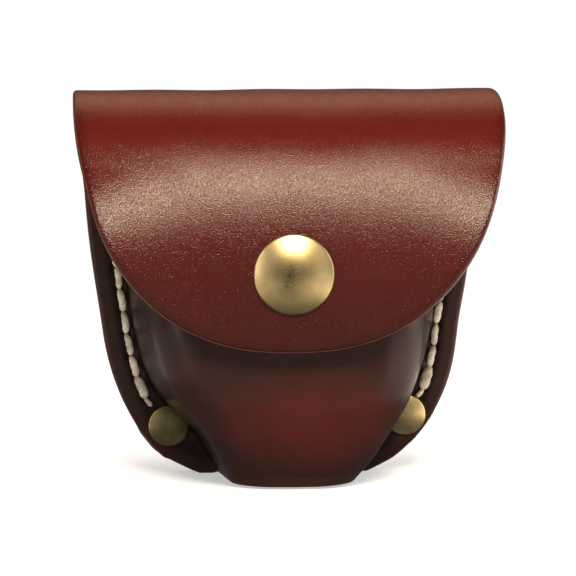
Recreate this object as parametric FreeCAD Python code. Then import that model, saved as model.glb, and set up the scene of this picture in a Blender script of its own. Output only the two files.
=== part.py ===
import FreeCAD, Part
import math
import os
from FreeCAD import Vector

# A small wet-moulded belt pouch in bridle leather, millimetres, +Z up, its front facing -Y.
# It is worked out in depths: 0 is the back panel's rear face, and depth grows towards the front.

# Leather and overall shape
LEATHER = 3.0
HALF_WIDTH = 40.2
TOP_Z = 75.0
SIDE_TAPER = 0.11
FOLD_RADIUS = 5.0
WIDE = 60.0

# Outline of the back panel and of the moulded front's flange
CORNER_START_Z = 28.0
CORNER_DROP = {-1: 31.0, 1: 29.8}
OUTLINE_Z = (28.0, 22.0, 16.0, 10.5, 6.5, 3.6)
TOE_HALF, TOE_Z = 18.0, 1.4
FOOT_HALF = 14.6

# Flap: its outer face runs over the top as a superellipse arc, then straight down
FLAP_DEPTH = 38.6
ARC_BOTTOM_Z = 40.0
ARC_POWER = 2.6
FLAP_TIP_Z = 27.1
FLAP_ROUND = 43.6
FLAP_POWER = 2.4
FOLD_HINGE_DEG = 45.0
BEND_HINGE_DEG = 45.0
BUTT_GAP = 0.2

# Moulded front: half widths at the flange on each side, how far the wall leans in, and its depth
BULGE_Z = (-3.0, 0.0, 5.0, 10.0, 16.0, 22.0, 30.0, 42.0, 56.0, 68.0)
BASE_HALF = {
    -1: (11.8, 12.8, 15.8, 18.4, 22.3, 26.0, 28.6, 29.6, 30.4, 30.8),
    1: (13.0, 14.0, 17.2, 19.7, 23.0, 26.2, 27.8, 28.8, 29.8, 30.2),
}
WALL_LEAN = {
    -1: (3.0, 3.0, 3.3, 3.3, 3.1, 2.9, 2.8, 2.6, 2.6, 2.6),
    1: (3.4, 3.0, 1.4, 0.9, 1.2, 2.6, 3.4, 3.6, 3.2, 3.0),
}
FRONT_DEPTH = (25.4, 27.5, 30.4, 32.2, 33.2, 33.3, 33.0, 32.0, 30.8, 29.8)
CORNER_RADIUS = (7.5, 8.0, 8.4, 8.8, 9.0, 9.0, 9.0, 9.0, 9.0, 9.0)
MOUTH_FRONT_Z, MOUTH_BACK_Z = 55.5, 61.5

# Saddle stitching
PITCH = 4.4
THREAD_RADIUS = 0.5
THREAD_CORE_RADIUS = 0.42
STITCH_MARGIN = {-1: 4.5, 1: 4.3}
FIRST_HOLE_Z = {-1: 15.0, 1: 16.2}
STITCHES = 10

# Double-cap rivets at the lower corners
RIVET_PLACE = {-1: (-22.5, 9.5), 1: (23.9, 11.2)}
RIVET_CAP_RADIUS = 4.0
RIVET_CAP_HEIGHT = 1.0
RIVET_TUBE_RADIUS = 1.6
RIVET_CORE_RADIUS = 1.1
SEAT_CLEARANCE = 0.1

# Snap fastener, on one axis through the flap and the moulded front
SNAP_Z = 41.8
CAP_RADIUS = 7.5
CAP_RIM = 0.9
CAP_HEIGHT = 2.6
CAP_POST_RADIUS = 1.7
SOCKET_RADIUS = 5.2
SOCKET_WALL_RADIUS = 3.5
SOCKET_LIP_RADIUS = 2.85
SOCKET_HEIGHT = 2.15
SOCKET_SHEET = 0.45
SPRING_RADIUS = 2.5
SPRING_WIRE = 0.35
STUD_BASE_RADIUS = 4.4
STUD_NECK_RADIUS = 1.6
STUD_HEAD_RADIUS = 2.15
STUD_SHEET = 0.5
STUD_TIP_DEPTH = 35.0
EYELET_RADIUS = 4.6
EYELET_TUBE_RADIUS = 1.2

# Belt loop on the back
LOOP_HALF = 16.0
LOOP_LEATHER = 2.5
LOOP_TOP_Z, LOOP_BOTTOM_Z = 69.0, 7.0
LOOP_TAB = 7.0
LOOP_STEP = 5.5
LOOP_ROOM = 5.0
LOOP_HOLES = 6
LOOP_HOLE_STEP = 4.8

# Tools that cut or bound the pieces
CUTTER_START = -20.0
CUTTER_LENGTH = 80.0
CUTTER_SPARE = 5.0
SLAB_SIZE = 200.0
SEAM_SEARCH_STEP = 0.02

# The frame's origin is under the middle of the whole part
FRONT_REACH = FLAP_DEPTH + CAP_HEIGHT
BACK_REACH = LOOP_ROOM + LOOP_LEATHER
MIDDLE_DEPTH = (FRONT_REACH - BACK_REACH) / 2.0


def at(x, depth, z):
    return Vector(x, MIDDLE_DEPTH - depth, z)


def line(a, b):
    return Part.LineSegment(a, b).toShape()


def arc(a, middle, b):
    return Part.Arc(a, middle, b).toShape()


def curve(points):
    path = Part.BSplineCurve()
    path.interpolate(points)
    return path.toShape()


def face_of(edges):
    return Part.Face(Part.Wire(edges))


def along_x(edges, half):
    """A solid with the given side profile, drawn at x = -half, as wide as twice half."""
    return face_of(edges).extrude(Vector(2.0 * half, 0.0, 0.0))


def along_depth(edges):
    """A prism through the whole part with the given front outline, drawn at CUTTER_START."""
    return face_of(edges).extrude(Vector(0.0, -CUTTER_LENGTH, 0.0))


def turned(profile, x, z):
    """A solid of revolution about the line through x and z along the depth.

    The profile is a closed list of (radius, depth) corners.
    """
    corners = [at(x + radius, depth, z) for radius, depth in profile]
    edges = [line(a, b) for a, b in zip(corners, corners[1:] + corners[:1])]
    return face_of(edges).revolve(at(x, 0.0, z), Vector(0, 1, 0), 360.0)


def rod(x, z, radius, start, end):
    """A round bar along the depth from start to end."""
    return Part.makeCylinder(radius, end - start, at(x, start, z), Vector(0, -1, 0))


# ---- outlines ----

def outline_half(z, side):
    """Half width of the back panel: a tapering side with a cubed corner below it."""
    drop = max(0.0, (CORNER_START_Z - z) / CORNER_DROP[side])
    return (HALF_WIDTH - SIDE_TAPER * (TOP_Z - z)) * (1.0 - drop * drop) ** (1.0 / 3.0)


def outline_corner(side, depth):
    """Points from the straight side round the lower corner to the flat foot."""
    points = [at(side * outline_half(z, side), depth, z) for z in OUTLINE_Z]
    points.append(at(side * TOE_HALF, depth, TOE_Z))
    points.append(at(side * FOOT_HALF, depth, 0.0))
    return points


def panel_outline():
    right = outline_corner(1, CUTTER_START)
    left = outline_corner(-1, CUTTER_START)
    top_right = at(HALF_WIDTH, CUTTER_START, TOP_Z)
    top_left = at(-HALF_WIDTH, CUTTER_START, TOP_Z)
    high_right = at(HALF_WIDTH, CUTTER_START, TOP_Z + CUTTER_SPARE)
    high_left = at(-HALF_WIDTH, CUTTER_START, TOP_Z + CUTTER_SPARE)
    edges = [
        line(high_left, high_right),
        line(high_right, top_right),
        line(top_right, right[0]),
        curve(right),
        line(right[-1], left[-1]),
        curve(left[::-1]),
        line(left[0], top_left),
        line(top_left, high_left),
    ]
    return along_depth(edges)


def flap_outline():
    """The flap's D shape: straight sides and one superelliptical lower edge."""
    shoulder = FLAP_TIP_Z + FLAP_ROUND
    points = []
    steps = 8
    for side in (-1, 1):
        for i in range(steps + 1):
            turn = 0.5 * math.pi * i / steps
            x = side * HALF_WIDTH * math.sin(turn) ** (2.0 / FLAP_POWER)
            points.append((x, shoulder - FLAP_ROUND * math.cos(turn)))
    ordered = [at(x, CUTTER_START, z) for x, z in sorted(set(points))]
    high_right = at(HALF_WIDTH, CUTTER_START, TOP_Z + CUTTER_SPARE)
    high_left = at(-HALF_WIDTH, CUTTER_START, TOP_Z + CUTTER_SPARE)
    edges = [
        curve(ordered),
        line(ordered[-1], high_right),
        line(high_right, high_left),
        line(high_left, ordered[0]),
    ]
    return along_depth(edges)


# ---- leather: the back panel and the flap are one hide, cut here at its two bends ----

def arc_point(turn, inset):
    """Depth and height on the flap's arc at a parameter angle, set in along its normal."""
    reach, rise = FLAP_DEPTH - FOLD_RADIUS, TOP_Z - ARC_BOTTOM_Z
    u = math.sin(turn) ** (2.0 / ARC_POWER)
    w = max(math.cos(turn), 0.0) ** (2.0 / ARC_POWER)
    normal = (u ** (ARC_POWER - 1.0) / reach, w ** (ARC_POWER - 1.0) / rise)
    size = math.hypot(*normal)
    depth = FOLD_RADIUS + reach * u - inset * normal[0] / size
    return depth, ARC_BOTTOM_Z + rise * w - inset * normal[1] / size, normal


def fold_point(degrees, radius):
    turn = math.radians(degrees)
    z = TOP_Z - FOLD_RADIUS + radius * math.sin(turn)
    return FOLD_RADIUS - radius * math.cos(turn), z


def hide_side(x, inset):
    """One face of the hide seen from the side: back, fold, arc over the top, and front."""
    steps = 10
    radius = FOLD_RADIUS - inset
    turns = [0.5 * math.pi * i / steps for i in range(steps + 1)]
    over = [at(x, *arc_point(turn, inset)[:2]) for turn in turns]
    low = at(x, inset, -1.0)
    start = at(x, *fold_point(0.0, radius))
    middle = at(x, *fold_point(45.0, radius))
    tip = at(x, FLAP_DEPTH - inset, FLAP_TIP_Z - 1.0)
    edges = [line(low, start), arc(start, middle, over[0]), curve(over), line(over[-1], tip)]
    return edges, low, tip


def hinge_cut(depth, z, normal):
    """A thin slab along the leather's normal, which parts the hide at a hinge."""
    length = math.hypot(*normal)
    ahead = Vector(0.0, -normal[0] / length, normal[1] / length)
    across = Vector(0.0, ahead.z, -ahead.y)
    centre = Vector(-WIDE, MIDDLE_DEPTH - depth, z)
    corners = [
        centre + ahead * a * 8.0 + across * b * BUTT_GAP / 2.0
        for a, b in ((-1, -1), (1, -1), (1, 1), (-1, 1))
    ]
    edges = [line(a, b) for a, b in zip(corners, corners[1:] + corners[:1])]
    return face_of(edges).extrude(Vector(2.0 * WIDE, 0.0, 0.0))


def hide_pieces():
    outer, outer_low, outer_tip = hide_side(-WIDE, 0.0)
    inner, inner_low, inner_tip = hide_side(-WIDE, LEATHER)
    edges = outer + [line(outer_tip, inner_tip)] + inner[::-1] + [line(inner_low, outer_low)]
    hide = along_x(Part.__sortEdges__(edges), WIDE)
    turn = math.radians(FOLD_HINGE_DEG)
    fold = hinge_cut(*fold_point(FOLD_HINGE_DEG, FOLD_RADIUS), (-math.cos(turn), math.sin(turn)))
    bend = hinge_cut(*arc_point(math.radians(BEND_HINGE_DEG), 0.0))
    parts = hide.cut([fold, bend]).Solids
    parts.sort(key=lambda part: -part.CenterOfMass.y)
    return parts


def above_floor(shape):
    slab = Part.makeBox(SLAB_SIZE, SLAB_SIZE, SLAB_SIZE, Vector(-SLAB_SIZE / 2.0, -SLAB_SIZE / 2.0, 0.0))
    return shape.common(slab)


def back_panel(blank, outline, thread, loop_thread):
    panel = above_floor(blank.common(outline))
    panel = panel.cut(thread + loop_thread)
    holes = [rod(x, z, RIVET_TUBE_RADIUS, -1.0, LEATHER + 1.0) for x, z in RIVET_PLACE.values()]
    return panel.cut(holes)


def seat(radius, start, end):
    """The flat that the leather is pressed to under one of the snap's pieces."""
    return rod(0.0, SNAP_Z, radius + SEAT_CLEARANCE, start, end)


def flap_front(blank, outline):
    inner = FLAP_DEPTH - LEATHER
    cuts = [
        rod(0.0, SNAP_Z, CAP_POST_RADIUS, inner - CUTTER_SPARE, FLAP_DEPTH + CUTTER_SPARE),
        seat(CAP_RADIUS, FLAP_DEPTH, FLAP_DEPTH + CUTTER_SPARE),
        seat(SOCKET_RADIUS, inner - CUTTER_SPARE, inner),
    ]
    return blank.common(outline).cut(cuts)


# ---- the moulded front ----

def tangent_corner(base, corner, radius):
    """The two tangent points and the middle of a round between a wall and the front."""
    lean = math.atan2(corner[1] - base[1], corner[0] - base[0])
    run = radius * math.tan((math.pi - lean) / 2.0)
    first = (corner[0] - run * math.cos(lean), corner[1] - run * math.sin(lean))
    last = (corner[0] - run, corner[1])
    centre = (last[0], last[1] - radius)
    half = lean / 2.0
    middle = (centre[0] + radius * math.cos(half), centre[1] + radius * math.sin(half))
    return first, middle, last


def bulge_section(i, inset, base_depth):
    """A level cut through the moulding: walls that lean in, round corners and a flat front."""
    z = BULGE_Z[i]
    front = FRONT_DEPTH[i] - inset
    radius = CORNER_RADIUS[i] - inset
    ends = {}
    for side in (1, -1):
        base = (BASE_HALF[side][i] - inset, base_depth)
        corner = (BASE_HALF[side][i] - WALL_LEAN[side][i] - inset, front)
        points = tangent_corner(base, corner, radius)
        ends[side] = [at(side * x, depth, z) for x, depth in (base,) + points]
    right, left = ends[1], ends[-1]
    edges = [
        line(right[0], right[1]),
        arc(right[1], right[2], right[3]),
        line(right[3], left[3]),
        arc(left[3], left[2], left[1]),
        line(left[1], left[0]),
        line(left[0], right[0]),
    ]
    return Part.Wire(edges)


def bulge(inset, base_depth):
    sections = [bulge_section(i, inset, base_depth) for i in range(len(BULGE_Z))]
    return Part.makeLoft(sections, True, False)


def mouth_cutter():
    """All that lies above the slanting mouth of the pocket."""
    corners = [
        at(-WIDE, -5.0, MOUTH_BACK_Z + 1.0),
        at(-WIDE, LEATHER, MOUTH_BACK_Z),
        at(-WIDE, FLAP_DEPTH, MOUTH_FRONT_Z),
        at(-WIDE, FLAP_DEPTH, TOP_Z + 20.0),
        at(-WIDE, -5.0, TOP_Z + 20.0),
    ]
    edges = [line(a, b) for a, b in zip(corners, corners[1:] + corners[:1])]
    return along_x(edges, WIDE)


def rivet_seat(x, z):
    """Room for a rivet's cap where the foot of the moulded wall comes close to it."""
    face = 2.0 * LEATHER
    return rod(x, z, RIVET_CAP_RADIUS + SEAT_CLEARANCE, face, face + RIVET_CAP_HEIGHT + SEAT_CLEARANCE)


def front_panel(outline, threads, face):
    corner = at(-SLAB_SIZE / 2.0, 2.0 * LEATHER, -CUTTER_SPARE)
    flange_box = Part.makeBox(SLAB_SIZE, LEATHER, SLAB_SIZE, corner)
    flange = outline.common(flange_box)
    panel = flange.fuse(bulge(0.0, LEATHER)).cut(bulge(LEATHER, LEATHER - 2.0))
    panel = above_floor(panel).cut(mouth_cutter())
    holes = [rod(x, z, RIVET_TUBE_RADIUS, 0.0, 12.0) for x, z in RIVET_PLACE.values()]
    holes += [rivet_seat(x, z) for x, z in RIVET_PLACE.values()]
    holes.append(rod(0.0, SNAP_Z, STUD_NECK_RADIUS, face - LEATHER - CUTTER_SPARE, face + CUTTER_SPARE))
    holes.append(seat(STUD_BASE_RADIUS, face, face + CUTTER_SPARE))
    holes.append(seat(EYELET_RADIUS, face - LEATHER - CUTTER_SPARE, face - LEATHER))
    panel = panel.cut(threads).cut(holes)
    return max(panel.Solids, key=lambda solid: solid.Volume)


# ---- stitching ----

def seam_line(side):
    """Stitch holes up one side, evenly spaced along a line inside the outline."""
    z = FIRST_HOLE_Z[side]
    holes = [(side * (outline_half(z, side) - STITCH_MARGIN[side]), z)]
    while len(holes) <= STITCHES:
        z += SEAM_SEARCH_STEP
        x = side * (outline_half(z, side) - STITCH_MARGIN[side])
        if math.hypot(x - holes[-1][0], z - holes[-1][1]) >= PITCH:
            holes.append((x, z))
    return holes


def stitch(a, b, depth):
    """One stitch on a face: a bar of thread with rounded ends between two holes."""
    start, end = at(a[0], depth, a[1]), at(b[0], depth, b[1])
    bar = Part.makeCylinder(THREAD_RADIUS, (end - start).Length, start, end - start)
    return bar.fuse([Part.makeSphere(THREAD_RADIUS, start), Part.makeSphere(THREAD_RADIUS, end)])


def thread_run(holes, front, back):
    """Saddle stitching: a stitch on both faces between each two holes, joined through them."""
    run = [stitch(a, b, front) for a, b in zip(holes, holes[1:])]
    run += [stitch(a, b, back) for a, b in zip(holes, holes[1:])]
    run += [rod(x, z, THREAD_CORE_RADIUS, back, front) for x, z in holes]
    return run[0].fuse(run[1:]).removeSplitter()


def seam_thread(side):
    lift = THREAD_RADIUS
    return thread_run(seam_line(side), 2.0 * LEATHER + lift, -lift)


# ---- rivets and snap ----

def rivet_cap(side):
    """The front half of a rivet: a thin domed cap with a tube that takes the post."""
    x, z = RIVET_PLACE[side]
    face = 2.0 * LEATHER
    top = face + RIVET_CAP_HEIGHT
    profile = [
        (0.0, top),
        (RIVET_CAP_RADIUS - 1.4, top - 0.08),
        (RIVET_CAP_RADIUS - 0.35, top - 0.3),
        (RIVET_CAP_RADIUS, face + 0.35),
        (RIVET_CAP_RADIUS - 0.15, face),
        (RIVET_TUBE_RADIUS, face),
        (RIVET_TUBE_RADIUS, 0.8),
        (RIVET_CORE_RADIUS, 0.8),
        (RIVET_CORE_RADIUS, face + 0.2),
        (0.0, face + 0.2),
    ]
    return turned(profile, x, z)


def rivet_post(side):
    """The rear half of a rivet: a low cap with a solid post driven into the tube."""
    x, z = RIVET_PLACE[side]
    profile = [
        (0.0, -RIVET_CAP_HEIGHT),
        (RIVET_CAP_RADIUS - 1.0, -RIVET_CAP_HEIGHT + 0.1),
        (RIVET_CAP_RADIUS, -0.4),
        (RIVET_CAP_RADIUS - 0.15, 0.0),
        (RIVET_TUBE_RADIUS, 0.0),
        (RIVET_TUBE_RADIUS, 0.8),
        (RIVET_CORE_RADIUS, 0.8),
        (RIVET_CORE_RADIUS, 2.0 * LEATHER + 0.2),
        (0.0, 2.0 * LEATHER + 0.2),
    ]
    return turned(profile, x, z)


def snap_cap():
    """The domed cap outside the flap, with the post that clinches the socket."""
    base = FLAP_DEPTH
    dome = []
    steps = 7
    for i in range(steps + 1):
        turn = 0.5 * math.pi * i / steps
        radius = (CAP_RADIUS - 0.4) * math.sin(turn)
        dome.append((radius, base + CAP_RIM + (CAP_HEIGHT - CAP_RIM) * math.cos(turn)))
    socket_face = FLAP_DEPTH - LEATHER - SOCKET_SHEET
    profile = dome + [
        (CAP_RADIUS, base + CAP_RIM * 0.6),
        (CAP_RADIUS - 0.2, base),
        (CAP_POST_RADIUS, base),
        (CAP_POST_RADIUS, socket_face),
        (0.0, socket_face),
    ]
    return turned(profile, 0.0, SNAP_Z)


def snap_socket():
    """The female half inside the flap, with an inner groove for its ring spring."""
    base = FLAP_DEPTH - LEATHER
    mouth = base - SOCKET_HEIGHT
    profile = [
        (CAP_POST_RADIUS, base),
        (SOCKET_RADIUS, base),
        (SOCKET_RADIUS, base - SOCKET_SHEET),
        (SOCKET_WALL_RADIUS + 0.7, base - 0.9),
        (SOCKET_WALL_RADIUS + 0.5, mouth + 0.3),
        (SOCKET_WALL_RADIUS + 0.2, mouth),
        (SOCKET_LIP_RADIUS, mouth),
        (SOCKET_LIP_RADIUS, mouth + 0.3),
        (SOCKET_WALL_RADIUS, mouth + 0.35),
        (SOCKET_WALL_RADIUS, base - SOCKET_SHEET),
        (CAP_POST_RADIUS, base - SOCKET_SHEET),
    ]
    return turned(profile, 0.0, SNAP_Z)


def snap_spring():
    """The split wire ring in the socket's groove."""
    depth = FLAP_DEPTH - LEATHER - SOCKET_HEIGHT + 0.36 + SPRING_WIRE
    ring = Part.makeTorus(SPRING_RADIUS, SPRING_WIRE, at(0.0, depth, SNAP_Z), Vector(0, -1, 0))
    split = Part.makeBox(1.0, 2.0, 4.0, at(-0.5, depth + 1.0, SNAP_Z))
    return ring.cut(split)


def front_face_depth():
    """Depth of the moulding's outer face at the snap's height."""
    section = bulge(0.0, LEATHER)
    probe = line(at(0.0, 20.0, SNAP_Z), at(0.0, 45.0, SNAP_Z))
    return MIDDLE_DEPTH - section.common(probe).BoundBox.YMin


def snap_stud(face):
    """The male half on the moulded front: a base, a neck and a rounded head."""
    tip = STUD_TIP_DEPTH
    profile = [
        (0.0, tip),
        (1.3, tip - 0.04),
        (1.8, tip - 0.16),
        (STUD_HEAD_RADIUS, tip - 0.42),
        (STUD_HEAD_RADIUS - 0.1, tip - 0.62),
        (STUD_NECK_RADIUS, tip - 0.85),
        (STUD_NECK_RADIUS, face + STUD_SHEET + 0.2),
        (STUD_BASE_RADIUS - 0.8, face + STUD_SHEET),
        (STUD_BASE_RADIUS, face + 0.15),
        (STUD_BASE_RADIUS, face),
        (EYELET_TUBE_RADIUS, face),
        (EYELET_TUBE_RADIUS, tip - 0.5),
        (0.0, tip - 0.5),
    ]
    return turned(profile, 0.0, SNAP_Z)


def snap_eyelet(face):
    """The flanged tube inside the pocket that clinches the stud through the leather."""
    inner = face - LEATHER
    profile = [
        (0.0, inner - 0.7),
        (EYELET_RADIUS - 0.7, inner - 0.7),
        (EYELET_RADIUS, inner - 0.2),
        (EYELET_RADIUS, inner),
        (STUD_NECK_RADIUS, inner),
        (STUD_NECK_RADIUS, face),
        (EYELET_TUBE_RADIUS, face),
        (EYELET_TUBE_RADIUS, STUD_TIP_DEPTH - 0.5),
        (0.0, STUD_TIP_DEPTH - 0.5),
    ]
    return turned(profile, 0.0, SNAP_Z)


# ---- belt loop ----

def loop_face(x, lift):
    """One face of the loop's strap from the side: a tab, a step out, a flat, and back."""
    room = -(LOOP_ROOM + lift)
    levels = (
        (-lift, LOOP_BOTTOM_Z),
        (-lift, LOOP_BOTTOM_Z + LOOP_TAB),
        (room, LOOP_BOTTOM_Z + LOOP_TAB + LOOP_STEP),
        (room, LOOP_TOP_Z - LOOP_TAB - LOOP_STEP),
        (-lift, LOOP_TOP_Z - LOOP_TAB),
        (-lift, LOOP_TOP_Z),
    )
    points = [at(x, depth, z) for depth, z in levels]
    up = Vector(0.0, 0.0, 1.0)
    edges = [line(points[0], points[1])]
    edges.append(smooth_step(points[1], points[2], up))
    edges.append(line(points[2], points[3]))
    edges.append(smooth_step(points[3], points[4], up))
    edges.append(line(points[4], points[5]))
    return edges, points[0], points[5]


def smooth_step(a, b, tangent):
    step = Part.BSplineCurve()
    step.interpolate(Points=[a, b], InitialTangent=tangent, FinalTangent=tangent)
    return step.toShape()


def loop_holes(z):
    first = -LOOP_HOLE_STEP * (LOOP_HOLES - 1) / 2.0
    return [(first + LOOP_HOLE_STEP * i, z) for i in range(LOOP_HOLES)]


def loop_thread(z):
    lift = THREAD_RADIUS
    return thread_run(loop_holes(z), LEATHER + lift, -LOOP_LEATHER - lift)


def belt_loop(threads):
    inner, inner_low, inner_top = loop_face(-LOOP_HALF, 0.0)
    outer, outer_low, outer_top = loop_face(-LOOP_HALF, LOOP_LEATHER)
    edges = inner + [line(inner_top, outer_top)] + outer[::-1] + [line(outer_low, inner_low)]
    return along_x(Part.__sortEdges__(edges), LOOP_HALF).cut(threads)


# ---- all the pieces ----

def pieces():
    back_blank, top_blank, front_blank = hide_pieces()
    outline = panel_outline()
    flap = flap_outline()
    seams = {"left": seam_thread(-1), "right": seam_thread(1)}
    tab_middle = LOOP_TAB / 2.0
    bars = {
        "top": loop_thread(LOOP_TOP_Z - tab_middle),
        "bottom": loop_thread(LOOP_BOTTOM_Z + tab_middle),
    }
    face = front_face_depth()
    made = {
        "back_panel": back_panel(back_blank, outline, list(seams.values()), list(bars.values())),
        "front_panel": front_panel(outline, list(seams.values()), face),
        "flap_top": top_blank.common(flap),
        "flap_front": flap_front(front_blank, flap),
        "belt_loop": belt_loop(list(bars.values())),
        "snap_cap": snap_cap(),
        "snap_socket": snap_socket(),
        "snap_spring": snap_spring(),
        "snap_stud": snap_stud(face),
        "snap_eyelet": snap_eyelet(face),
    }
    for name, thread in seams.items():
        made["seam_thread_" + name] = thread
    for name, thread in bars.items():
        made["loop_thread_" + name] = thread
    for name, side in (("left", -1), ("right", 1)):
        made["rivet_cap_" + name] = rivet_cap(side)
        made["rivet_post_" + name] = rivet_post(side)
    return made


os.makedirs("parts", exist_ok=True)
for name, shape in pieces().items():
    shape.exportStep("parts/" + name + ".step")
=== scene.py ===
"""Looks of a small wet-moulded belt pouch in oxblood bridle leather, around its fixed CAD frame.

Shapes are worked out in millimetres in the pouch's own terms: x across, depth forwards from the
back panel's rear face, and z up. place() turns them into metres in the frame.
"""
import math

import bmesh
import bpy
import numpy as np
from bpy.props import FloatProperty, FloatVectorProperty, PointerProperty
from bpy.types import Operator, Panel, PropertyGroup
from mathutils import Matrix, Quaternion, Vector


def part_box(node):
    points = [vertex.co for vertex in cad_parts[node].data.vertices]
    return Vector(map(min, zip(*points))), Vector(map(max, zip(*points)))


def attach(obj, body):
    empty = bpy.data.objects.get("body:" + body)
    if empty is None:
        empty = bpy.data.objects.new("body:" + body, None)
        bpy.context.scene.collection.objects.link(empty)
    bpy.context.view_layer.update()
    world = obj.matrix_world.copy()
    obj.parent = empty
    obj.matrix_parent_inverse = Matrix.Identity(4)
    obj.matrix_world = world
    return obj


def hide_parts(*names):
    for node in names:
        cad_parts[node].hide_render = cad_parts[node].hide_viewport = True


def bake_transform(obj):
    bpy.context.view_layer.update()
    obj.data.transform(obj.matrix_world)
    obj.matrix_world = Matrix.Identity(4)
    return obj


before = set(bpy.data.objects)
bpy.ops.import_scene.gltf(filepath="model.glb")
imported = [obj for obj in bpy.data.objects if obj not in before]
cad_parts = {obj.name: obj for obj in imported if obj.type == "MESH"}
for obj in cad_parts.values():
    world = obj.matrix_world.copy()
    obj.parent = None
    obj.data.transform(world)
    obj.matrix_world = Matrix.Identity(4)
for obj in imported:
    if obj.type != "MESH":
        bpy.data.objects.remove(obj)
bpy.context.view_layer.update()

bl_info = {
    "name": "Moulded Leather Pouch",
    "version": (1, 0, 0),
    "blender": (4, 5, 0),
    "location": "View3D > Sidebar > Pouch",
    "description": "Builds the leather, stitching and brass of a small belt pouch",
    "category": "Add Mesh",
}

MM = 0.001

# ---- sizes read from the frame, in millimetres ----

REAR_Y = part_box("back_panel")[1].y
LEATHER = (REAR_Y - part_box("front_panel")[1].y) / MM
HALF_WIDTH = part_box("flap_top")[1].x / MM
TOP_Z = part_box("flap_top")[1].z / MM
FLAP_TIP_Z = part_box("flap_front")[0].z / MM


def round_piece(node):
    """Where a round piece is across and up, its radius, and the depth of its front."""
    low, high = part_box(node)
    return ((low.x + high.x) / 2.0 / MM, (low.z + high.z) / 2.0 / MM,
            (high.x - low.x) / 2.0 / MM, (REAR_Y - low.y) / MM)


SNAP_X, SNAP_Z, CAP_RADIUS, CAP_TOP_DEPTH = round_piece("snap_cap")
RIVETS = {-1: round_piece("rivet_cap_left")[:2], 1: round_piece("rivet_cap_right")[:2]}
RIVET_RADIUS, RIVET_TOP_DEPTH = round_piece("rivet_cap_left")[2:]
LOOP_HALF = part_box("belt_loop")[1].x / MM
LOOP_BOTTOM_Z, LOOP_TOP_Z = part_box("belt_loop")[0].z / MM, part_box("belt_loop")[1].z / MM
LOOP_BACK = (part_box("belt_loop")[1].y - REAR_Y) / MM

# ---- the pouch's own shape, in millimetres ----

# These are the CAD solids' sizes, with a broader foot and hand-cut edges. Where the two sides
# differ, -1 is the left one and 1 the right one.

FOLD_RADIUS = 5.0
FLAP_DEPTH = 38.6
ARC_BOTTOM_Z = 40.0
ARC_POWER = 2.6
FLAP_ROUND = 43.6
FLAP_POWER = 2.4
FLARE_Z, FLARE_SPREAD = 56.0, 9.0
FLARE = {-1: 3.4, 1: 2.8}
SIDE_TAPER = 0.11
CORNER_START_Z = 28.0
CORNER_DROP = {-1: 31.0, 1: 29.8}
FOOT_HALF = 14.6
TOE_TOP_Z = 3.6
TOE_REACH = {-1: 8.3, 1: 7.9}
# How far a side stands out, the height where it does so most, and the spread of that bell curve.
OUTLINE_SWELL = {-1: (0.65, 46.0, 14.0), 1: (-0.7, 28.0, 8.0)}
FLAP_SWELL = {-1: ((-0.75, 60.0, 9.0), (0.35, 75.0, 5.0)), 1: ((1.05, 74.5, 8.0), (-0.15, 56.0, 9.0))}
SWELL_BLEND = 16.0
# The moulding at ten heights: half width at its foot, lean of its wall, depth and corner radius.
BULGE_Z = (-3.0, 0.0, 5.0, 10.0, 16.0, 22.0, 30.0, 42.0, 56.0, 68.0)
BASE_HALF = {
    -1: (11.8, 12.8, 15.6, 18.6, 25.2, 27.9, 29.7, 31.1, 32.4, 33.2),
    1: (13.0, 14.0, 17.2, 19.9, 24.6, 27.6, 29.4, 30.6, 31.8, 32.6),
}
WALL_LEAN = {
    -1: (3.0, 3.0, 3.2, 3.6, 5.8, 5.2, 4.6, 4.4, 4.6, 4.8),
    1: (3.4, 3.0, 1.5, 1.2, 2.8, 4.0, 5.0, 5.2, 5.0, 5.0),
}
FRONT_DEPTH = (25.4, 27.5, 30.4, 32.2, 33.2, 33.3, 33.0, 32.0, 30.8, 29.8)
CORNER_RADIUS = (7.5, 8.0, 8.4, 8.8, 9.0, 9.0, 9.0, 9.0, 9.0, 9.0)
MOUTH_FRONT_Z, MOUTH_BACK_Z = 55.5, 61.5
PITCH = 4.4
STITCH_MARGIN = {-1: 4.5, 1: 4.3}
FIRST_HOLE_Z = {-1: 15.0, 1: 16.2}
STITCHES = 10
# Depth and spread of what the stitches and the rivets press into the leather.
GROOVE, DIMPLE, DISH, PINCH = (0.22, 0.75), (0.9, 0.6), (0.3, 1.0), (0.4, 0.7)
LOOP_LEATHER = 2.5
LOOP_ROOM = LOOP_BACK - LOOP_LEATHER
LOOP_TAB = 7.0
LOOP_STEP = 5.5
LOOP_HOLES = 6
LOOP_HOLE_STEP = 4.8
LOOP_ROW_GAP = 3.5

FLANGE_DEPTH = 2.0 * LEATHER
FRONT_COLUMNS = (26, 9, 12, 16, 20)

SIDE_NAMES = {-1: "left", 1: "right"}

# ---- how finely the pieces are drawn ----

EDGE_STEPS = 5
# The edge's first rings keep the face's finish. Slots of a sheet's three materials.
DYED_RINGS = EDGE_STEPS - 3
FACE_SLOT, FLESH_SLOT, EDGE_SLOT = 0, 1, 2
THREAD_STEPS, THREAD_SIDES = 22, 18
THREAD_LAY = 1.6 * MM
THREAD_PLIES, PLY_RIDGE = 3.0, 0.05
# Shares of a stitch's half width, and how deep its ends go into the leather.
THREAD_STAND, THREAD_FLAT, THREAD_THIN, THREAD_SINK = 0.55, 0.85, 0.5, 1.5 * MM
SQUARE_EDGE = math.radians(70.0)


# ---- settings a user would change ----

def length_property(name, description, length):
    return FloatProperty(name=name, description=description, default=length * MM, unit="LENGTH")


class PouchSizes(PropertyGroup):
    edge_round: length_property("Edge round", "Radius of the burnished edges of the leather", 0.8)
    thread_width: length_property("Thread width", "Width of a waxed stitch lying on the leather", 1.4)
    grain: length_property("Grain", "Size of one pebble of the leather's grain", 0.23)


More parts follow.
